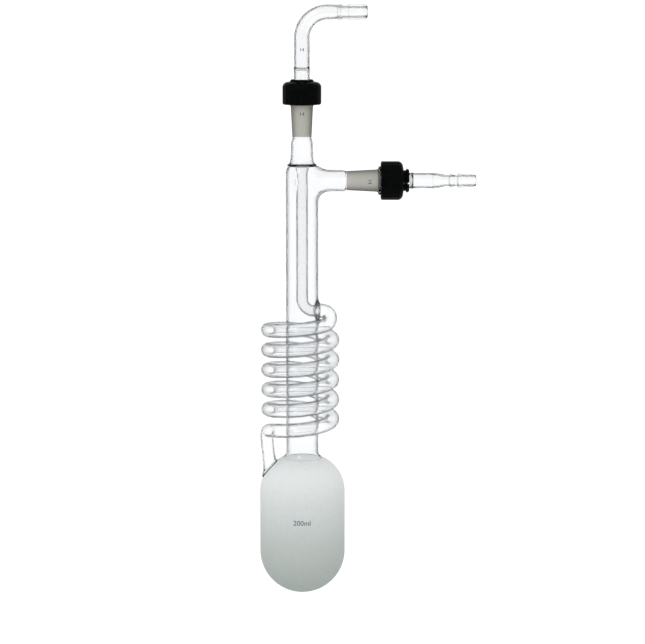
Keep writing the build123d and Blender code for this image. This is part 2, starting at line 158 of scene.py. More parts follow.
def light_scene():
    """A camera a little above the object, a white studio all round, and one large soft key light."""
    camera = bpy.data.objects.new("camera", bpy.data.cameras.new("camera"))
    camera.location = view_centre + view_distance * Vector((0, -math.cos(view_rise), math.sin(view_rise)))
    camera.rotation_euler = (math.pi / 2 - view_rise, 0, 0)
    camera.data.sensor_width = 36
    camera.data.lens = 127.6
    bpy.context.collection.objects.link(camera)
    bpy.context.scene.camera = camera

    world = bpy.data.worlds.new("white_studio")
    world.use_nodes = True
    background = world.node_tree.nodes["Background"]
    background.inputs["Color"].default_value = (1, 1, 1, 1)
    background.inputs["Strength"].default_value = 1.06
    bpy.context.scene.world = world

    key = bpy.data.lights.new("key", "AREA")
    key.shape = "RECTANGLE"
    key.size = 0.5
    key.size_y = 0.9
    key.energy = 5
    key_object = bpy.data.objects.new("key", key)
    key_object.location = view_centre + Vector((-0.55, -1.1, 0.8))
    key_object.rotation_euler = (view_centre - key_object.location).to_track_quat("-Z", "Y").to_euler()
    bpy.context.collection.objects.link(key_object)

    floor_mesh = bpy.data.meshes.new("floor")
    reach = 6.0
    floor_z = cad_box[0].z - 0.5 * MM
    corners = [(x * reach, y * reach, floor_z) for x, y in ((-1, -1), (1, -1), (1, 1), (-1, 1))]
    floor_mesh.from_pydata(corners, [], [(0, 1, 2, 3)])
    floor = bpy.data.objects.new("floor", floor_mesh)
    bpy.context.collection.objects.link(floor)
    white = bpy.data.materials.new("white_floor")
    white.use_nodes = True
    shader = white.node_tree.nodes["Principled BSDF"]
    shader.inputs["Base Color"].default_value = (0.12, 0.12, 0.12, 1)
    shader.inputs["Emission Color"].default_value = (1, 1, 1, 1)
    shader.inputs["Emission Strength"].default_value = 1.0
    shader.inputs["Roughness"].default_value = 0.9
    shader.inputs["Specular IOR Level"].default_value = 0.0
    floor_mesh.materials.append(white)

    scene = bpy.context.scene
    scene.view_settings.view_transform = "Standard"
    scene.cycles.max_bounces = 24
    scene.cycles.transmission_bounces = 24
    scene.cycles.transparent_max_bounces = 16


# ---- Materials -----------------------------------------------------------------------------------


def material(name):
    """A new material, with its node tree, its shader, and the place of each point in the piece's space."""
    made = bpy.data.materials.new(name)
    made.use_nodes = True
    tree = made.node_tree
    shader = tree.nodes["Principled BSDF"]
    place = tree.nodes.new("ShaderNodeTexCoord").outputs["Object"]
    return made, tree, shader, place


def noise(tree, place, scale, detail=3.0, stretch=(1, 1, 1)):
    """A noise pattern in the piece's own space, in grains per metre."""
    mapping = tree.nodes.new("ShaderNodeMapping")
    mapping.inputs["Scale"].default_value = stretch
    tree.links.new(place, mapping.inputs["Vector"])
    pattern = tree.nodes.new("ShaderNodeTexNoise")
    pattern.inputs["Scale"].default_value = scale
    pattern.inputs["Detail"].default_value = detail
    tree.links.new(mapping.outputs["Vector"], pattern.inputs["Vector"])
    return pattern.outputs["Fac"]


def bump(tree, shader, height, strength, distance):
    node = tree.nodes.new("ShaderNodeBump")
    node.inputs["Strength"].default_value = strength
    node.inputs["Distance"].default_value = distance
    tree.links.new(height, node.inputs["Height"])
    tree.links.new(node.outputs["Normal"], shader.inputs["Normal"])


def ramp(tree, value, stops):
    """Colours along a value, from (place, colour) stops."""
    node = tree.nodes.new("ShaderNodeValToRGB")
    node.color_ramp.elements[0].position = stops[0][0]
    node.color_ramp.elements[0].color = (*stops[0][1], 1)
    node.color_ramp.elements[1].position = stops[-1][0]
    node.color_ramp.elements[1].color = (*stops[-1][1], 1)
    for place, colour in stops[1:-1]:
        node.color_ramp.elements.new(place).color = (*colour, 1)
    tree.links.new(value, node.inputs["Fac"])
    return node.outputs["Color"]


def mixed(tree, first, second, share):
    """Sends a mix of two shaders to the surface. share is the second one's part."""
    both = tree.nodes.new("ShaderNodeMixShader")
    both.inputs["Fac"].default_value = share
    tree.links.new(first.outputs["BSDF"], both.inputs[1])
    tree.links.new(second.outputs["BSDF"], both.inputs[2])
    tree.links.new(both.outputs["Shader"], tree.nodes["Material Output"].inputs["Surface"])


def lit_through(tree, shader, tone):
    """Lets half of a matt skin's light come through from its far side."""
    through = tree.nodes.new("ShaderNodeBsdfTranslucent")
    tree.links.new(tone, through.inputs["Color"])
    mixed(tree, shader, through, 0.5)


def painted_edge_shade(tree, stops):
    """A colour for each crossing of a glass skin, with painted shade: thin grey lines where the skin is seen
    edge on.
    """
    facing = tree.nodes.new("ShaderNodeLayerWeight")
    facing.inputs["Blend"].default_value = 0.5
    return ramp(tree, facing.outputs["Facing"], stops)


glass_ior = 1.47


def clear_glass(name, straight, lost_share):
    """Drawn borosilicate tube: nearly colourless, with painted shade in grey lines where the wall is seen
    edge on.

    Part of the light that a wall would reflect inside itself is lost, as it is in a studio whose dark
    sides show in the edges of the glass. straight is the colour of one crossing at right angles.
    """
    made, tree, shader, place = material(name)
    # Painted shade: the glass colour turns grey where the wall is seen edge on, for the studio's dark sides
    # that glass edges show.
    tint_and_edge_shade = painted_edge_shade(
        tree,
        [
            (0.0, (straight, straight + 0.004, straight + 0.008)),
            (0.40, (straight * 0.985, straight * 0.99, straight * 0.995)),
            (0.62, (0.82 * straight, 0.835 * straight, 0.84 * straight)),
            (0.85, (0.48, 0.495, 0.50)),
            (1.0, (0.28, 0.295, 0.30)),
        ],
    )
    tree.links.new(tint_and_edge_shade, shader.inputs["Base Color"])
    shader.inputs["Roughness"].default_value = 0.0
    shader.inputs["IOR"].default_value = glass_ior
    shader.inputs["Transmission Weight"].default_value = 1.0
    wave = noise(tree, place, 45, 1.0, (1, 1, 0.3))
    bump(tree, shader, wave, 0.03, 0.3 * MM)
    lost = tree.nodes.new("ShaderNodeBsdfRefraction")
    lost.inputs["IOR"].default_value = glass_ior
    lost.inputs["Roughness"].default_value = 0.0
    tree.links.new(tint_and_edge_shade, lost.inputs["Color"])
    mixed(tree, shader, lost, lost_share)
    return made


def clear_inside():
    """The smooth inner face of matt glass, which only adds a faint sheen."""
    made, _, shader, _ = material("clear_inside")
    shader.inputs["Base Color"].default_value = (1, 1, 1, 1)
    shader.inputs["Roughness"].default_value = 0.05
    shader.inputs["Alpha"].default_value = 0.04
    return made


def frosted_glass():
    """Sandblasted glass: white and matt, with painted shade that darkens it towards the bulb's bottom, and a
    fine grain.

    Half of its light comes through from the far side, so the inside of the bulb is bright too.
    """
    made, tree, shader, place = material("frosted_glass")
    height = tree.nodes.new("ShaderNodeSeparateXYZ")
    tree.links.new(place, height.inputs["Vector"])
    share = tree.nodes.new("ShaderNodeMapRange")
    share.inputs["From Min"].default_value = bulb_low.z
    share.inputs["From Max"].default_value = bulb_seam_z
    tree.links.new(height.outputs["Z"], share.inputs["Value"])
    # Painted shade: the colour runs from near white at the bulb's seam down to grey-green at its bottom, as
    # if lit from above.
    tone = ramp(
        tree,
        share.outputs["Result"],
        [
            (0.0, (0.44, 0.48, 0.46)),
            (0.18, (0.50, 0.54, 0.52)),
            (0.42, (0.595, 0.63, 0.61)),
            (0.72, (0.75, 0.775, 0.765)),
            (1.0, (0.93, 0.94, 0.945)),
        ],
    )
    mottle = ramp(tree, noise(tree, place, 420, 4.0), [(0.3, (0.955, 0.955, 0.955)), (0.7, (1, 1, 1))])
    mix = tree.nodes.new("ShaderNodeMix")
    mix.data_type = "RGBA"
    mix.blend_type = "MULTIPLY"
    mix.inputs["Factor"].default_value = 1.0
    tree.links.new(tone, mix.inputs[6])
    tree.links.new(mottle, mix.inputs[7])
    tree.links.new(mix.outputs[2], shader.inputs["Base Color"])
    shader.inputs["Roughness"].default_value = 0.62
    shader.inputs["Specular IOR Level"].default_value = 0.12
    lit_through(tree, shader, mix.outputs[2])
    bump(tree, shader, noise(tree, place, 3200, 2.0), 0.25, 0.05 * MM)
    return made


def ground_glass():
    """A ground joint: warm grey and matt, with painted shade darkening its edges, and a fine grain."""
    made, tree, shader, place = material("ground_glass")
    # Painted shade: the warm grey darkens where the joint is seen edge on.
    tone = painted_edge_shade(
        tree,
        [
            (0.0, (0.65, 0.645, 0.59)),
            (0.12, (0.60, 0.595, 0.54)),
            (0.4, (0.38, 0.375, 0.35)),
            (0.8, (0.20, 0.205, 0.195)),
        ],
    )
    tree.links.new(tone, shader.inputs["Base Color"])
    shader.inputs["Roughness"].default_value = 0.75
    shader.inputs["Specular IOR Level"].default_value = 0.12
    bump(tree, shader, noise(tree, place, 2400, 3.0), 0.3, 0.05 * MM)
    lit_through(tree, shader, tone)
    return made


def black_plastic():
    """Moulded black plastic with a satin skin."""
    made, tree, shader, place = material("black_plastic")
    tone = ramp(
        tree, noise(tree, place, 350, 3.0), [(0.35, (0.0008, 0.0012, 0.0008)), (0.7, (0.002, 0.0026, 0.0022))]
    )
    tree.links.new(tone, shader.inputs["Base Color"])
    shader.inputs["Roughness"].default_value = 0.36
    shader.inputs["Specular IOR Level"].default_value = 0.015
    bump(tree, shader, noise(tree, place, 2600, 3.0), 0.2, 0.05 * MM)
    return made


def grey_print():
    """The faded blue-grey print of the capacity and the joint sizes."""
    made, tree, shader, place = material("grey_print")
    tone = ramp(tree, noise(tree, place, 1800, 3.0), [(0.3, (0.07, 0.10, 0.14)), (0.7, (0.16, 0.19, 0.24))])
    tree.links.new(tone, shader.inputs["Base Color"])
    shader.inputs["Roughness"].default_value = 0.7
    return made


light_scene()
CLEAR = clear_glass("clear_glass", 0.955, 0.52)
COIL = clear_glass("coil_glass", 0.965, 0.42)
# The head ring seal's glass is mid-grey face on: painted shade for the dark band that the thick seal shows.
SEALED = clear_glass("sealed_glass", 0.5, 0.8)
FROSTED = frosted_glass()
INSIDE = clear_inside()
GROUND = ground_glass()
BLACK = black_plastic()
PRINT = grey_print()

# ---- Makers of shapes ----------------------------------------------------------------------------


def finished(
    name, mesh_source, made_of, body=TRAP, stands_for=(), sharp=42, outward=False
):
    """Turns a bmesh into a piece: outward faces, smooth shading, materials, and the body it rides on.

    made_of is one material or a list of them. outward says that the faces point outwards already.
    """
    if not outward:
        bmesh.ops.recalc_face_normals(mesh_source, faces=mesh_source.faces)
    mesh = bpy.data.meshes.new(name)
    mesh_source.to_mesh(mesh)
    mesh_source.free()
    for one in made_of if isinstance(made_of, list) else [made_of]:
        mesh.materials.append(one)
    for polygon in mesh.polygons:
        polygon.use_smooth = True
    mesh.set_sharp_from_angle(angle=math.radians(sharp))
    piece = bpy.data.objects.new(name, mesh)
    bpy.context.collection.objects.link(piece)
    return riding(piece, body, stands_for)


def riding(piece, body, stands_for):
    """Puts a piece on its body, in the place of the named nodes."""
    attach(piece, body)
    if stands_for:
        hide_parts(*stands_for)
    return piece


def upright(origin=Vector((0, 0, 0))):
    """A place whose axis points up from a point."""
    return Matrix.Translation(origin)


def sideways(origin):
    """A place whose axis points along +X from a point."""
    turned = Matrix(((0, 0, 1), (0, 1, 0), (-1, 0, 0))).to_4x4()
    return Matrix.Translation(origin) @ turned


def revolved(outline, place, segments=96):
    """A closed shell from a closed half outline of (radius, height) points, as a bmesh."""
    shell = bmesh.new()
    rings = []
    for radius, height in outline:
        if radius < 1e-7:
            rings.append([shell.verts.new(place @ Vector((0, 0, height)))])
            continue
        turns = [2 * math.pi * i / segments for i in range(segments)]
        around = [Vector((radius * math.cos(turn), radius * math.sin(turn), height)) for turn in turns]
        rings.append([shell.verts.new(place @ point) for point in around])
    for first, second in zip(rings, rings[1:] + rings[:1]):
        if len(first) == 1 and len(second) == 1:
            continue
        for i in range(segments):
            j = (i + 1) % segments
            near = [first[i % len(first)], first[j % len(first)]]
            far = [second[j % len(second)], second[i % len(second)]]
            shell.faces.new(list(dict.fromkeys(near + far)))
    return shell


def arc(centre, radius, from_angle, to_angle, steps=16):
    """Points round part of a circle, with angles in degrees."""
    angles = [math.radians(from_angle + (to_angle - from_angle) * i / steps) for i in range(steps + 1)]
    return [(centre[0] + radius * math.cos(a), centre[1] + radius * math.sin(a)) for a in angles]


def smooth_line(points, steps=6):
    """A smooth curve through points, Catmull-Rom, for outlines."""
    padded = [points[0]] + list(points) + [points[-1]]
    line = []
    for before, start, end, after in zip(padded, padded[1:], padded[2:], padded[3:]):
        for i in range(steps):
            t = i / steps
            point = []
            for b, s, e, a in zip(before, start, end, after):
                square = (2 * b - 5 * s + 4 * e - a) * t * t
                cube = (3 * s - b - 3 * e + a) * t**3
                point.append(0.5 * (2 * s + (e - b) * t + square + cube))
            line.append(tuple(point))
    return line + [tuple(points[-1])]


def drawn_tube(path, radius, wall, segments=48):
    """A hollow tube along a path, closed at its ends by its own wall, as a bmesh.

    radius is a number, or a function of the distance along the path.
    """
    tube = bmesh.new()
    way = (path[1] - path[0]).normalized()
    side = way.orthogonal().normalized()
    travelled = 0.0
    outer_rings = []
    inner_rings = []
    for i, point in enumerate(path):
        if i:
            travelled += (point - path[i - 1]).length
        ahead = path[min(i + 1, len(path) - 1)] - path[max(i - 1, 0)]
        turn = way.rotation_difference(ahead.normalized())
        side = turn @ side
        way = ahead.normalized()
        other = way.cross(side)
        outer = radius(travelled) if callable(radius) else radius
        for rings, size in ((outer_rings, outer), (inner_rings, outer - wall)):
            angles = [2 * math.pi * k / segments for k in range(segments)]
            rings.append(
                [tube.verts.new(point + (side * math.cos(a) + other * math.sin(a)) * size) for a in angles]
            )
    loop = outer_rings + inner_rings[::-1]
    for first, second in zip(loop, loop[1:] + loop[:1]):
        for k in range(segments):
            n = (k + 1) % segments
            tube.faces.new((first[k], first[n], second[n], second[k]))
    return tube


def curve_to(start, way, end, steps=14):
    """Points along the arc that leaves start in a direction and passes through end."""
    span = end - start
    along = span.dot(way)
    across = span - way * along
    radius = span.length_squared / (2 * across.length)
    outward = across.normalized()
    turn = 2 * math.atan2(across.length, along)
    centre = start + outward * radius
    points = []
    for i in range(1, steps + 1):
        angle = turn * i / steps
        points.append(centre - outward * radius * math.cos(angle) + way * radius * math.sin(angle))
    return points, (way * math.cos(turn) + outward * math.sin(turn)).normalized()


def double_bend(start, start_way, end, end_way):
    """Points along two arcs that join one direction smoothly to another."""
    both = start_way + end_way
    span = end - start
    square = 4 - both.length_squared
    half = span.dot(both)
    reach = (math.sqrt(half * half + square * span.length_squared) - half) / square
    middle = (start + start_way * reach + end - end_way * reach) / 2
    first, way = curve_to(start, start_way, middle)
    return first + curve_to(middle, way, end)[0]


def on_coil(degrees):
    """The point on the coil's middle line at an angle from +X by way of the front."""
    turn = math.radians(degrees)
    fall = coil_pitch * degrees / 360
    return Vector((coil_x + coil_r * math.cos(turn), -coil_r * math.sin(turn), coil_top_z - fall))


def along_coil(degrees):
    """The way in which the coil runs at that angle."""
    turn = math.radians(degrees)
    return Vector((-math.sin(turn), -math.cos(turn), -coil_pitch / (2 * math.pi * coil_r))).normalized()


# ---- Blown joints, where one tube flows into another ---------------------------------------------


def melted(first, second, reach):
    """Two shapes run together in the flame: the nearer of two distances, with a fillet of some reach."""
    near = np.maximum(reach - np.abs(first - second), 0) / reach
    return np.minimum(first, second) - near * near * reach / 4


def eased(value, low, high):
    """0 below low, 1 above high, and smooth in between."""
    share = np.clip((value - low) / (high - low), 0, 1)
    return share * share * (3 - 2 * share)


def skin(field, low, high, grain):
    """The closed surface where a field of distances crosses zero, with points set exactly on it.

    grain is the size of one cell along X, Y and Z.
    """
    grain = np.array(grain)
    sides = [np.arange(low[i] - grain[i], high[i] + 1.5 * grain[i], grain[i]) for i in range(3)]
    grid = np.stack(np.meshgrid(*sides, indexing="ij"), axis=-1)
    value = field(grid[..., 0], grid[..., 1], grid[..., 2])
    inside = value < 0
    cells = tuple(n - 1 for n in inside.shape)
    count = np.zeros(cells, int)
    for corner in np.ndindex(2, 2, 2):
        count += inside[tuple(slice(c, c + n) for c, n in zip(corner, cells))]
    mixed = (count > 0) & (count < 8)
    number = np.full(cells, -1)
    number[mixed] = np.arange(mixed.sum())
    starts = np.argwhere(mixed)
    points = np.array([side[0] for side in sides]) + (starts + 0.5) * grain
    small = min(grain) * 0.02
    for _ in range(6):
        here = field(*points.T)
        slope = np.stack([(field(*(points + step).T) - here) / small for step in np.eye(3) * small], axis=-1)
        steep = np.maximum((slope**2).sum(axis=1), 0.05)
        move = np.clip((-here / steep)[:, None] * slope, -0.6 * min(grain), 0.6 * min(grain))
        points = points + move
    shell = bmesh.new()
    corners = [shell.verts.new(point) for point in points]
    for axis in range(3):
        ahead = [slice(1, -1)] * 3
        behind = [slice(1, -1)] * 3
        ahead[axis] = slice(1, None)
        behind[axis] = slice(0, -1)
        from_inside = inside[tuple(behind)]
        crossing = np.argwhere(from_inside != inside[tuple(ahead)])
        offset = np.ones(3, int)
        offset[axis] = 0
        first = np.eye(3, dtype=int)[(axis + 1) % 3]
        second = np.eye(3, dtype=int)[(axis + 2) % 3]
        for place in crossing:
            edge = place + offset
            ring = [edge, edge - first, edge - first - second, edge - second]
            if not from_inside[tuple(place)]:
                ring.reverse()
            shell.faces.new([corners[number[tuple(cell)]] for cell in ring])
    return shell


def cut_true(shell, cuts):
    """Cuts a shell flat at its ends and closes each end's wall. Each cut is (point, outward, reach)."""
    for point, outward, reach in cuts:
        faces = [face for face in shell.faces if (face.calc_center_median() - point).length < reach]
        edges = list({edge for face in faces for edge in face.edges})
        verts = list({vert for face in faces for vert in face.verts})
        cut = bmesh.ops.bisect_plane(
            shell, geom=verts + edges + faces, plane_co=point, plane_no=outward, clear_outer=True
        )
        rim = [item for item in cut["geom_cut"] if isinstance(item, bmesh.types.BMEdge)]
        ends = bmesh.ops.bridge_loops(shell, edges=rim)["faces"]
        for face in ends:
            face.normal_update()
        inward = [face for face in ends if face.normal.dot(outward) < 0]
        bmesh.ops.reverse_faces(shell, faces=inward)
    return shell


over = 1.5 * MM  # how far the blanks run past the places where they are cut
neck_seam_z = -127.0 * MM  # out of sight behind the coil's lowest turn
dome_r = 8 * MM
dome_z = 54.5 * MM
arm_fillet = 9.0 * MM
arm_wall_from = 4 * MM  # how far out the arm's wall has its own thickness
stub_fillet = 2.2 * MM
stub_wall = 1.2 * MM
ring_x = 11.3 * MM
ring_rise = 1.5 * MM
ring_width = 0.9 * MM
riser_grain = (0.55 * MM, 0.55 * MM, 0.8 * MM)


def riser_field(x, y, z):
    """The riser, blown as one: its domed head, the side arm, and the ring seal where the coil leaves."""
    dome = np.sqrt(np.maximum(dome_r**2 - np.maximum(z - dome_z, 0) ** 2, 0)) + riser_r - dome_r
    body = np.hypot(x, y) - dome
    arm = np.maximum(np.hypot(y, z - arm_z) - arm_r, -x)
    wall = glass_wall - (glass_wall - arm_wall) * eased(x, riser_r, riser_r + arm_wall_from)
    shell = np.abs(melted(body, arm, arm_fillet) + wall / 2) - wall / 2
    off_axis = np.hypot(y, z - exit_z)
    opened = eased(x, 9.5 * MM, 11.5 * MM)
    outside = down_r + (coil_tube_r - down_r) * opened
    ring = ring_rise * np.exp(-(((x - ring_x) / ring_width) ** 2))
    stub = np.maximum(np.maximum(off_axis - outside - ring, exit_low.x - x), x - exit_x - over)
    bore = off_axis - (outside - stub_wall)
    return np.maximum(melted(shell, stub, stub_fillet), np.where(x > 0, -bore, -1.0))


riser = skin(
    riser_field,
    (-riser_r - over, -riser_r - over, neck_seam_z - over),
    (arm_high.x + over, riser_r + over, ring_seal_z + over),
    riser_grain,
)
riser_cuts = [
    (Vector((0, 0, neck_seam_z + seam_gap)), -Z, 16 * MM),
    (Vector((0, 0, ring_seal_z - seam_gap)), Z, 14 * MM),
    (Vector((arm_high.x - seam_gap, 0, arm_z)), X, 10 * MM),
    (Vector((exit_x - seam_gap, 0, exit_z)), X, 6.5 * MM),
]
finished(
    "riser_glass", cut_true(riser, riser_cuts), CLEAR, sharp=60, outward=True,
    stands_for=["riser_tube", "riser_head", "side_arm", "wall_ring_seal"],
)

# ---- Receiver bulb -------------------------------------------------------------------------------


def vessel_line(inset):
    """The rising outline of the bulb, its shoulder and the neck, drawn in by an inset."""
    share = 1 - math.cos(shoulder_turn)
    slope = bulb_r - riser_r - (shoulder_r + foot_r) * share
    foot_z = shoulder_z + (shoulder_r + foot_r) * math.sin(shoulder_turn) + slope / math.tan(shoulder_turn)
    line = arc((0, bulb_low.z + bulb_r), bulb_r - inset, -90, 0, 36)
    line[0] = (0, line[0][1])
    line += arc((bulb_r - shoulder_r, shoulder_z), shoulder_r - inset, 0, 60, 24)
    line += arc((riser_r + foot_r, foot_z), foot_r + inset, 240, 180, 14)
    return line + [(riser_r - inset, neck_seam_z - seam_gap)]


def receiver_bulb():
    """The bulb, sandblasted outside up to its neck, and smooth inside."""
    bulb = revolved(vessel_line(print_depth) + vessel_line(glass_wall)[::-1], upright(), 144)
    bmesh.ops.recalc_face_normals(bulb, faces=bulb.faces)
    for face in bulb.faces:
        centre = face.calc_center_median()
        from_axis = Vector((centre.x, centre.y, 0))
        middle = Vector((0, 0, min(max(centre.z, bulb_low.z + bulb_r), shoulder_z)))
        faces_in = face.normal.dot(centre - middle) < 0
        if centre.z > bulb_seam_z:
            face.material_index = 2
        elif faces_in or face.normal.dot(from_axis) < -0.3 * from_axis.length:
            face.material_index = 1
    finished(
        "receiver_bulb_glass", bulb, [FROSTED, INSIDE, CLEAR],
        stands_for=["receiver_bulb"], outward=True,
    )


receiver_bulb()

# ---- Tubes ---------------------------------------------------------------------------------------


def down_tube():
    """The inner tube: a trumpet mouth at the top, and a bend into the riser's wall at the bottom."""
    top = ring_seal_z - seam_gap
    flare_depth = 5.5 * MM
    flare = 2.5 * MM
    bend = 8.2 * MM
    mouth = [Vector((0, 0, top - flare_depth * i / 12)) for i in range(12)]
    drop = [Vector((0, 0, top - flare_depth)), Vector((0, 0, exit_z + bend))]
    turn = curve_to(drop[-1], -Z, Vector((bend, 0, exit_z)), 20)[0]

    def width(travelled):
        return down_r + flare * max(0.0, 1 - travelled / flare_depth) ** 2.4

    path = mouth + drop + turn
    finished("down_tube_glass", drawn_tube(path, width, down_wall), CLEAR, stands_for=["down_tube"])


down_tube()

seal_half = (ring_seal_top - ring_seal_z) / 2
seal_outline = arc((ring_seal_r - seal_half, ring_seal_z + seal_half), seal_half, -90, 90, 12)
seal_bore_r = 5.5 * MM
seal_outline += [(seal_bore_r, ring_seal_top), (seal_bore_r, ring_seal_z)]
finished("head_ring_seal_glass", revolved(seal_outline, upright()), SEALED, stands_for=["head_ring_seal"])

# ---- Condensing coil, with its inlet and its return leg: one tube by rule ------------------------


def tube_tree():
    """A tree that draws a hollow tube along a line of points, each with its own tube radius."""
    tree = bpy.data.node_groups.new("tube_along_line", "GeometryNodeTree")
    tree.interface.new_socket("Geometry", in_out="OUTPUT", socket_type="NodeSocketGeometry")
    for name, kind in (
        ("Geometry", "NodeSocketGeometry"), ("Wall", "NodeSocketFloat"), ("Sides", "NodeSocketInt"),
        ("Glass", "NodeSocketMaterial"),
    ):
        tree.interface.new_socket(name, in_out="INPUT", socket_type=kind)
    new = tree.nodes.new
    link = tree.links.new
    given = new("NodeGroupInput").outputs
    line = new("GeometryNodeMeshToCurve")
    link(given["Geometry"], line.inputs["Mesh"])
    width = new("GeometryNodeInputNamedAttribute")
    width.data_type = "FLOAT"
    width.inputs["Name"].default_value = "tube_radius"
    bore = new("ShaderNodeMath")
    bore.operation = "SUBTRACT"
    link(width.outputs["Attribute"], bore.inputs[0])
    link(given["Wall"], bore.inputs[1])
    skins = new("GeometryNodeJoinGeometry")
    for size, inside in ((width.outputs["Attribute"], False), (bore.outputs[0], True)):
        section = new("GeometryNodeCurvePrimitiveCircle")
        link(given["Sides"], section.inputs["Resolution"])
        section.inputs["Radius"].default_value = 1.0
        swept = new("GeometryNodeCurveToMesh")
        link(line.outputs["Curve"], swept.inputs["Curve"])
        link(size, swept.inputs["Scale"])
        link(section.outputs["Curve"], swept.inputs["Profile Curve"])
        result = swept.outputs["Mesh"]
        if inside:
            flip = new("GeometryNodeFlipFaces")
            link(result, flip.inputs["Mesh"])
            result = flip.outputs["Mesh"]
        link(result, skins.inputs["Geometry"])
    realize = new("GeometryNodeRealizeInstances")
    link(skins.outputs["Geometry"], realize.inputs["Geometry"])
    paint = new("GeometryNodeSetMaterial")
    link(realize.outputs["Geometry"], paint.inputs["Geometry"])
    link(given["Glass"], paint.inputs["Material"])
    link(paint.outputs["Geometry"], new("NodeGroupOutput").inputs["Geometry"])
    return tree


def tube_by_tree(path, radii, wall, sides, glass):
    """The hollow tube that the tree draws along a path, closed at both ends, as a bmesh."""
    line = bpy.data.meshes.new("tube_line")
    line.from_pydata(path, [(i, i + 1) for i in range(len(path) - 1)], [])
    line.attributes.new("tube_radius", "FLOAT", "POINT").data.foreach_set("value", radii)
    holder = bpy.data.objects.new("tube_line", line)
    bpy.context.collection.objects.link(holder)
    modifier = holder.modifiers.new("tube", "NODES")
    modifier.node_group = tube_tree()
    values = {"Wall": wall, "Sides": sides, "Glass": glass}
    for socket in modifier.node_group.interface.items_tree:
        if socket.in_out == "INPUT" and socket.name in values:
            modifier[socket.identifier] = values[socket.name]
    graph = bpy.context.evaluated_depsgraph_get()
    mesh = bpy.data.meshes.new_from_object(holder.evaluated_get(graph))
    bpy.data.objects.remove(holder)
    tube = bmesh.new()
    tube.from_mesh(mesh)
    bpy.data.meshes.remove(mesh)
    rims = [edge for edge in tube.edges if edge.is_boundary]
    for end in (path[0], path[-1]):
        near = [edge for edge in rims if (edge.verts[0].co - end).length < 1.5 * max(radii)]
        bmesh.ops.bridge_loops(tube, edges=near)
    return tube


def above_shoulder(point):
    """How far a point stands outside the bulb's shoulder and side."""
    from_axis = math.hypot(point.x, point.y)
    if point.z < shoulder_z:
        return from_axis - bulb_r
    return math.hypot(from_axis - (bulb_r - shoulder_r), point.z - shoulder_z) - shoulder_r


def on_shoulder(point, way):
    """A point inside the bulb, drawn back along a line until it lies on the shoulder."""
    near, far = 0.0, leg_foot_length
    for _ in range(24):
        middle = (near + far) / 2
        if above_shoulder(point - way * middle) < seam_gap:
            near = middle
        else:
            far = middle
    return point - way * far


def coil():
    """The tube from the wall's ring seal, round the coil, and down into the bulb's shoulder."""
    start = Vector((exit_x + seam_gap, 0, exit_z))
    inlet = [start] + double_bend(start, X, on_coil(coil_start), along_coil(coil_start))
    helix_steps = round((coil_end - coil_start) / 4)
    step = (coil_end - coil_start) / helix_steps
    helix = [on_coil(coil_start + step * i) for i in range(1, helix_steps + 1)]
    bend = double_bend(helix[-1], along_coil(coil_end), leg_top, leg_way)
    foot_steps = 42
    foot = [leg_top + leg_way * leg_foot_length * i / foot_steps for i in range(1, foot_steps + 1)]
    path = inlet + helix + bend + foot
    taper_from = len(inlet) + len(helix)
    radii = [coil_tube_r] * len(path)
    for i in range(taper_from, len(path)):
        radii[i] = leg_r + (coil_tube_r - leg_r) * max(0.0, 1 - (i - taper_from) / len(bend)) ** 2
    tube = tube_by_tree(path, radii, coil_wall, 48, COIL)
    for vertex in tube.verts:
        down_leg = (vertex.co - leg_top).dot(leg_way)
        if down_leg < leg_flare_from or vertex.co.z > leg_top.z:
            continue
        outward = (vertex.co - (leg_top + leg_way * down_leg)).normalized()
        vertex.co += outward * leg_spread * math.exp(-max(above_shoulder(vertex.co), 0) / (1.1 * MM))
        if above_shoulder(vertex.co) < seam_gap:
            vertex.co = on_shoulder(vertex.co, leg_way)
    bmesh.ops.remove_doubles(tube, verts=tube.verts, dist=0.004 * MM)
    finished(
        "cooling_coil_glass", tube, COIL, stands_for=["cooling_coil", "coil_inlet_bend", "coil_return_leg"]
    )


coil()

# ---- Sockets, cones and hose connectors ----------------------------------------------------------

top_place = upright(Vector((0, 0, top_socket_low.z)))
side_place = sideways(Vector((side_socket_low.x, 0, arm_z)))


def scaled(points):
    """Outline points given in millimetres, in metres."""
    return [(r * MM, h * MM) for r, h in points]


def shell_outline(points, wall):
    """A closed outline from an outer line and a wall's thickness."""
    return points + [(r - wall, h) for r, h in reversed(points)]


side_tail = scaled([(7.45, -3.4), (7.42, -2.5), (7.2, -1.7), (6.75, -1.05), (6.6, -0.6), (6.65, -0.02)])
finished(
    "side_socket_tail_glass", revolved(shell_outline(smooth_line(side_tail), socket_wall), side_place), CLEAR,
    stands_for=["side_socket_tail"],
)
top_tail = scaled(
    [(9.3, -19.18), (8.6, -18.2), (8.15, -16.6), (7.85, -14.0), (7.65, -10.5), (7.55, -7.0), (7.4, -4.2),
     (7.0, -2.6), (6.6, -1.4), (6.55, -0.7), (6.65, -0.02)]
)
finished(
    "top_socket_tail_glass", revolved(shell_outline(smooth_line(top_tail), socket_wall), top_place), CLEAR,
    stands_for=["top_socket_tail"],
)


def lined(shell, place):
    """A shell whose bore is see-through: its second material goes on the faces that look inwards."""
    bmesh.ops.recalc_face_normals(shell, faces=shell.faces)
    back = place.inverted()
    for face in shell.faces:
        centre = back @ face.calc_center_median()
        normal = back.to_3x3() @ face.normal
        if normal.x * centre.x + normal.y * centre.y < 0:
            face.material_index = 1
    return shell


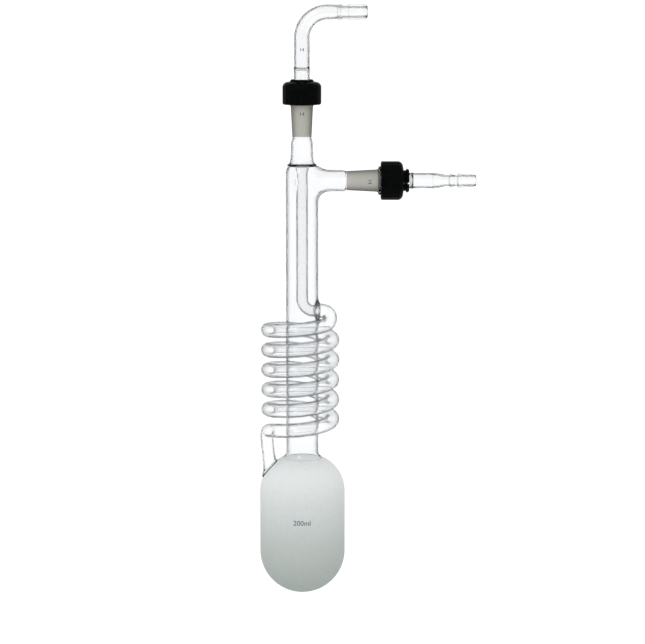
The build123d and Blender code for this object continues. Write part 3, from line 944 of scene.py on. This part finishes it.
def glass_thread(name, place, starts_at):
    """The thread that the cap screws on: one ridge wound round the socket's core, from an angle."""
    ridge = bmesh.new()
    steps = round(thread_turns * 72)
    root = (thread_core - 0.4 * MM, 1.0 * MM)
    crest = (thread_crest, 0.35 * MM)
    section = [(root[0], -root[1]), (crest[0], -crest[1]), crest, root]
    rings = []
    for i in range(steps + 1):
        turn = 2 * math.pi * thread_turns * i / steps
        height = thread_from + thread_pitch * turn / (2 * math.pi)
        around = Vector((math.cos(starts_at + turn), math.sin(starts_at + turn), 0))
        rings.append([ridge.verts.new(place @ (around * r + Z * (height + h))) for r, h in section])
    for first, second in zip(rings, rings[1:]):
        for i in range(4):
            j = (i + 1) % 4
            ridge.faces.new((first[i], first[j], second[j], second[i]))
    ridge.faces.new(rings[0])
    ridge.faces.new(rings[-1])
    finished(name + "_thread", ridge, CLEAR)


def ground_socket(name, place, node, thread_starts_at):
    """A ground socket: matt up to its flange, and clear in the flange and the thread's core."""
    wide = small_end_r + socket_wall
    ground = [(wide, 0), (wide + taper * 18 * MM, 18 * MM), (wide + taper * 20.4 * MM, 20.4 * MM)]
    ground += scaled([(7.95, 21.3), (8.7, 21.8)])
    bore = [(small_end_r + taper * 21.8 * MM, 21.8 * MM), (small_end_r, 0)]
    shell = lined(revolved(ground + bore, place), place)
    finished(name + "_ground", shell, [GROUND, INSIDE], stands_for=[node])
    flange = scaled([(8.75, 21.82)]) + arc((9.25 * MM, 22.7 * MM), 0.8 * MM, -90, 90, 10)
    flange += scaled([(9.2, 23.8), (9.2, 29.7), (8.4, 30.5)])
    flange += [(small_end_r + taper * 30.5 * MM, 30.5 * MM), (small_end_r + taper * 21.82 * MM, 21.82 * MM)]
    finished(name + "_flange", revolved(flange, place), CLEAR)
    glass_thread(name, place, thread_starts_at)


ground_socket("top_socket", top_place, "top_ground_socket", 0.0)
ground_socket("side_socket", side_place, "side_ground_socket", math.pi)


def ground_cone(name, place, tip, bead, seam, body, node):
    """A cone: matt where it is ground, then a clear stem with the bead that the collar grips."""
    start = small_end_r - 0.05 * MM + taper * 0.6 * MM
    end = start + taper * cone_length
    wide_end = tip + cone_length
    wall = 1.2 * MM
    ground = [(start, tip), (end, wide_end), (end - wall, wide_end), (start - wall, tip)]
    shell = lined(revolved(ground, place), place)
    finished(name + "_ground", shell, [GROUND, INSIDE], body, [node])
    low = wide_end + seam_gap
    neck = [(end - 0.2 * MM, low + 0.6 * MM), (tube_r + 0.3 * MM, low + 1.3 * MM), (tube_r, low + 1.8 * MM)]
    swell = scaled([(0, -1.3), (0.2, -0.9), (0.35, -0.55), (0.3, -0.25), (-0.05, 0)])
    inner = tube_r - tube_wall
    stem = [(end, low)]
    stem += smooth_line(neck)
    stem += arc((tube_r - 0.4 * MM, bead), 1.35 * MM, -70, 70, 10)
    stem += [(tube_r + r, seam + h) for r, h in swell]
    stem += [(inner, seam), (inner, low + 1.6 * MM), (end - wall, low)]
    finished(name + "_stem", revolved(stem, place), CLEAR, body)


top_origin = top_socket_low.z
side_origin = side_socket_low.x
top_seam = top_cone_high.z - top_origin - seam_gap
side_seam = side_cone_high.x - side_origin - seam_gap
ground_cone(
    "top_cone", top_place, top_cone_low.z - top_origin, top_bead, top_seam, "top_connector", "top_ground_cone"
)
ground_cone(
    "side_cone", side_place, side_cone_low.x - side_origin, side_bead, side_seam, "side_connector",
    "side_ground_cone",
)


def bent_tube():
    """The connector's tube: up, through a right angle, and out towards +X."""
    start = Vector((0, 0, top_tube_low.z + seam_gap))
    corner = Vector((0, 0, top_axis_z - bend_r))
    turn = curve_to(corner, Z, Vector((bend_r, 0, top_axis_z)), 24)[0]
    swell = [start + Z * 0.2 * MM * i for i in range(9)]
    end = Vector((top_nipple_low.x - seam_gap, 0, top_axis_z))

    def width(travelled):
        seam = math.exp(-(((travelled - 0.55 * MM) / (0.35 * MM)) ** 2))
        draw_down = 0.35 * MM * min(1.0, max(0.0, (travelled - 21 * MM) / (30 * MM)))
        return tube_r + 0.45 * MM * seam - draw_down

    path = swell + [corner] + turn + [end]
    finished(
        "top_bent_tube_glass", drawn_tube(path, width, tube_wall), CLEAR, "top_connector",
        stands_for=["top_bent_tube"],
    )


bent_tube()

tube_place = sideways(Vector((0, 0, arm_z)))
side_start = side_tube_low.x + seam_gap
side_line = []
for height in [0.25 * i for i in range(9)]:
    swell = 0.45 * MM * math.exp(-((height - 0.55) / 0.35) ** 2)
    side_line.append((tube_r + swell, side_start + height * MM))
side_line.append((tube_r, side_tube_high.x - seam_gap))
finished(
    "side_tube_glass", revolved(shell_outline(side_line, tube_wall), tube_place), CLEAR, "side_connector",
    stands_for=["side_tube"],
)


def hose_nipple(name, place, line, body, node):
    """A barbed end with a thick wall, pressed to its ridges."""
    outside = smooth_line(scaled(line), 5)
    tip = outside[-1][1]
    inside = [(nipple_bore_r + 0.3 * MM, tip), (nipple_bore_r, tip - 0.6 * MM), (nipple_bore_r, 7 * MM)]
    inside.append((outside[0][0] - tube_wall, outside[0][1]))
    finished(name, revolved(outside + inside, place), CLEAR, body, stands_for=[node], sharp=60)


hose_nipple(
    "top_hose_nipple_glass", sideways(Vector((top_nipple_low.x, 0, top_axis_z))),
    [(4.95, 0.02), (4.8, 1.6), (4.75, 3.2), (4.78, 4.0), (5.1, 4.4), (5.38, 4.75), (5.4, 5.3), (5.38, 5.8),
     (5.15, 6.1), (4.9, 7.2), (4.68, 9.0), (4.65, 10.8), (4.68, 11.5), (5.05, 11.9), (5.38, 12.3),
     (5.42, 12.9), (5.42, 16.0), (5.4, 18.6), (5.2, 21.0), (4.75, 23.0), (4.2, 24.1), (3.4, 24.5)],
    "top_connector", "top_hose_nipple",
)
hose_nipple(
    "side_hose_nipple_glass", sideways(Vector((side_nipple_low.x, 0, arm_z))),
    [(5.3, 0.02), (5.15, 2.2), (4.45, 6.0), (3.85, 9.2), (3.75, 10.6), (3.8, 11.2), (4.2, 11.5),
     (4.6, 11.9), (4.68, 12.5), (4.6, 13.1), (4.2, 14.0), (3.85, 15.0), (3.78, 16.4), (3.9, 17.0),
     (4.5, 17.3), (4.95, 17.7), (5.02, 18.3), (4.95, 19.2), (4.6, 22.0), (4.25, 25.4), (4.1, 28.0),
     (3.8, 29.3), (3.2, 29.8)],
    "side_connector", "side_hose_nipple",
)

# ---- Plastic parts, whose shapes are right as they are -------------------------------------------

for node in ("top_screw_cap", "side_screw_cap", "top_split_collar", "side_split_collar"):
    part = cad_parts[node]
    part.data.materials.clear()
    part.data.materials.append(BLACK)

# ---- Printed marks -------------------------------------------------------------------------------


def print_text(name, text, height, place, radius, body=TRAP):
    """Small print laid round a cylinder's front: place turns (round, up, out) into the frame."""
    letters = bpy.data.curves.new(name, "FONT")
    letters.body = text
    letters.size = height / 0.72
    letters.align_x = "CENTER"
    letters.resolution_u = 3
    letters.offset = 0.02 * height
    letters.extrude = print_height
    flat = bpy.data.objects.new(name, letters)
    bpy.context.collection.objects.link(flat)
    graph = bpy.context.evaluated_depsgraph_get()
    mesh = bpy.data.meshes.new_from_object(flat.evaluated_get(graph))
    bpy.data.objects.remove(flat)
    shell = bmesh.new()
    shell.from_mesh(mesh)
    bpy.data.meshes.remove(mesh)
    bmesh.ops.remove_doubles(shell, verts=shell.verts, dist=0.1 * print_height)
    bmesh.ops.triangulate(shell, faces=shell.faces)
    long_edges = [edge for edge in shell.edges if edge.calc_length() > 0.8 * MM]
    bmesh.ops.subdivide_edges(shell, edges=long_edges, cuts=1)
    for vertex in shell.verts:
        turn = vertex.co.x / radius
        out = radius + vertex.co.z
        vertex.co = place @ Vector((out * math.sin(turn), vertex.co.y, out * math.cos(turn)))
    mesh = bpy.data.meshes.new(name)
    shell.to_mesh(mesh)
    shell.free()
    mesh.materials.append(PRINT)
    piece = bpy.data.objects.new(name, mesh)
    bpy.context.collection.objects.link(piece)
    return riding(piece, body, [])


to_front = Matrix(((1, 0, 0), (0, 0, -1), (0, 1, 0))).to_4x4()
to_side = Matrix.Rotation(math.radians(90), 4, "Y") @ to_front
bulb_mark = Matrix.Translation(Vector((0, 0, -188.6 * MM))) @ to_front
top_mark = Matrix.Translation(Vector((0, 0, 94.9 * MM))) @ to_front
tube_mark = Matrix.Translation(Vector((0, 0, 138.8 * MM))) @ to_front
side_mark = Matrix.Translation(Vector((45.8 * MM, 0, arm_z))) @ to_side
print_text("capacity_mark", "200ml", 3.6 * MM, bulb_mark, bulb_r - 2 * print_height)
print_text("top_size_mark", "14", 2.6 * MM, top_mark, 7.5 * MM)
print_text("tube_size_mark", "14", 2.4 * MM, tube_mark, tube_r + 0.06 * MM, "top_connector")
print_text("side_size_mark", "14", 2.6 * MM, side_mark, 7.55 * MM)
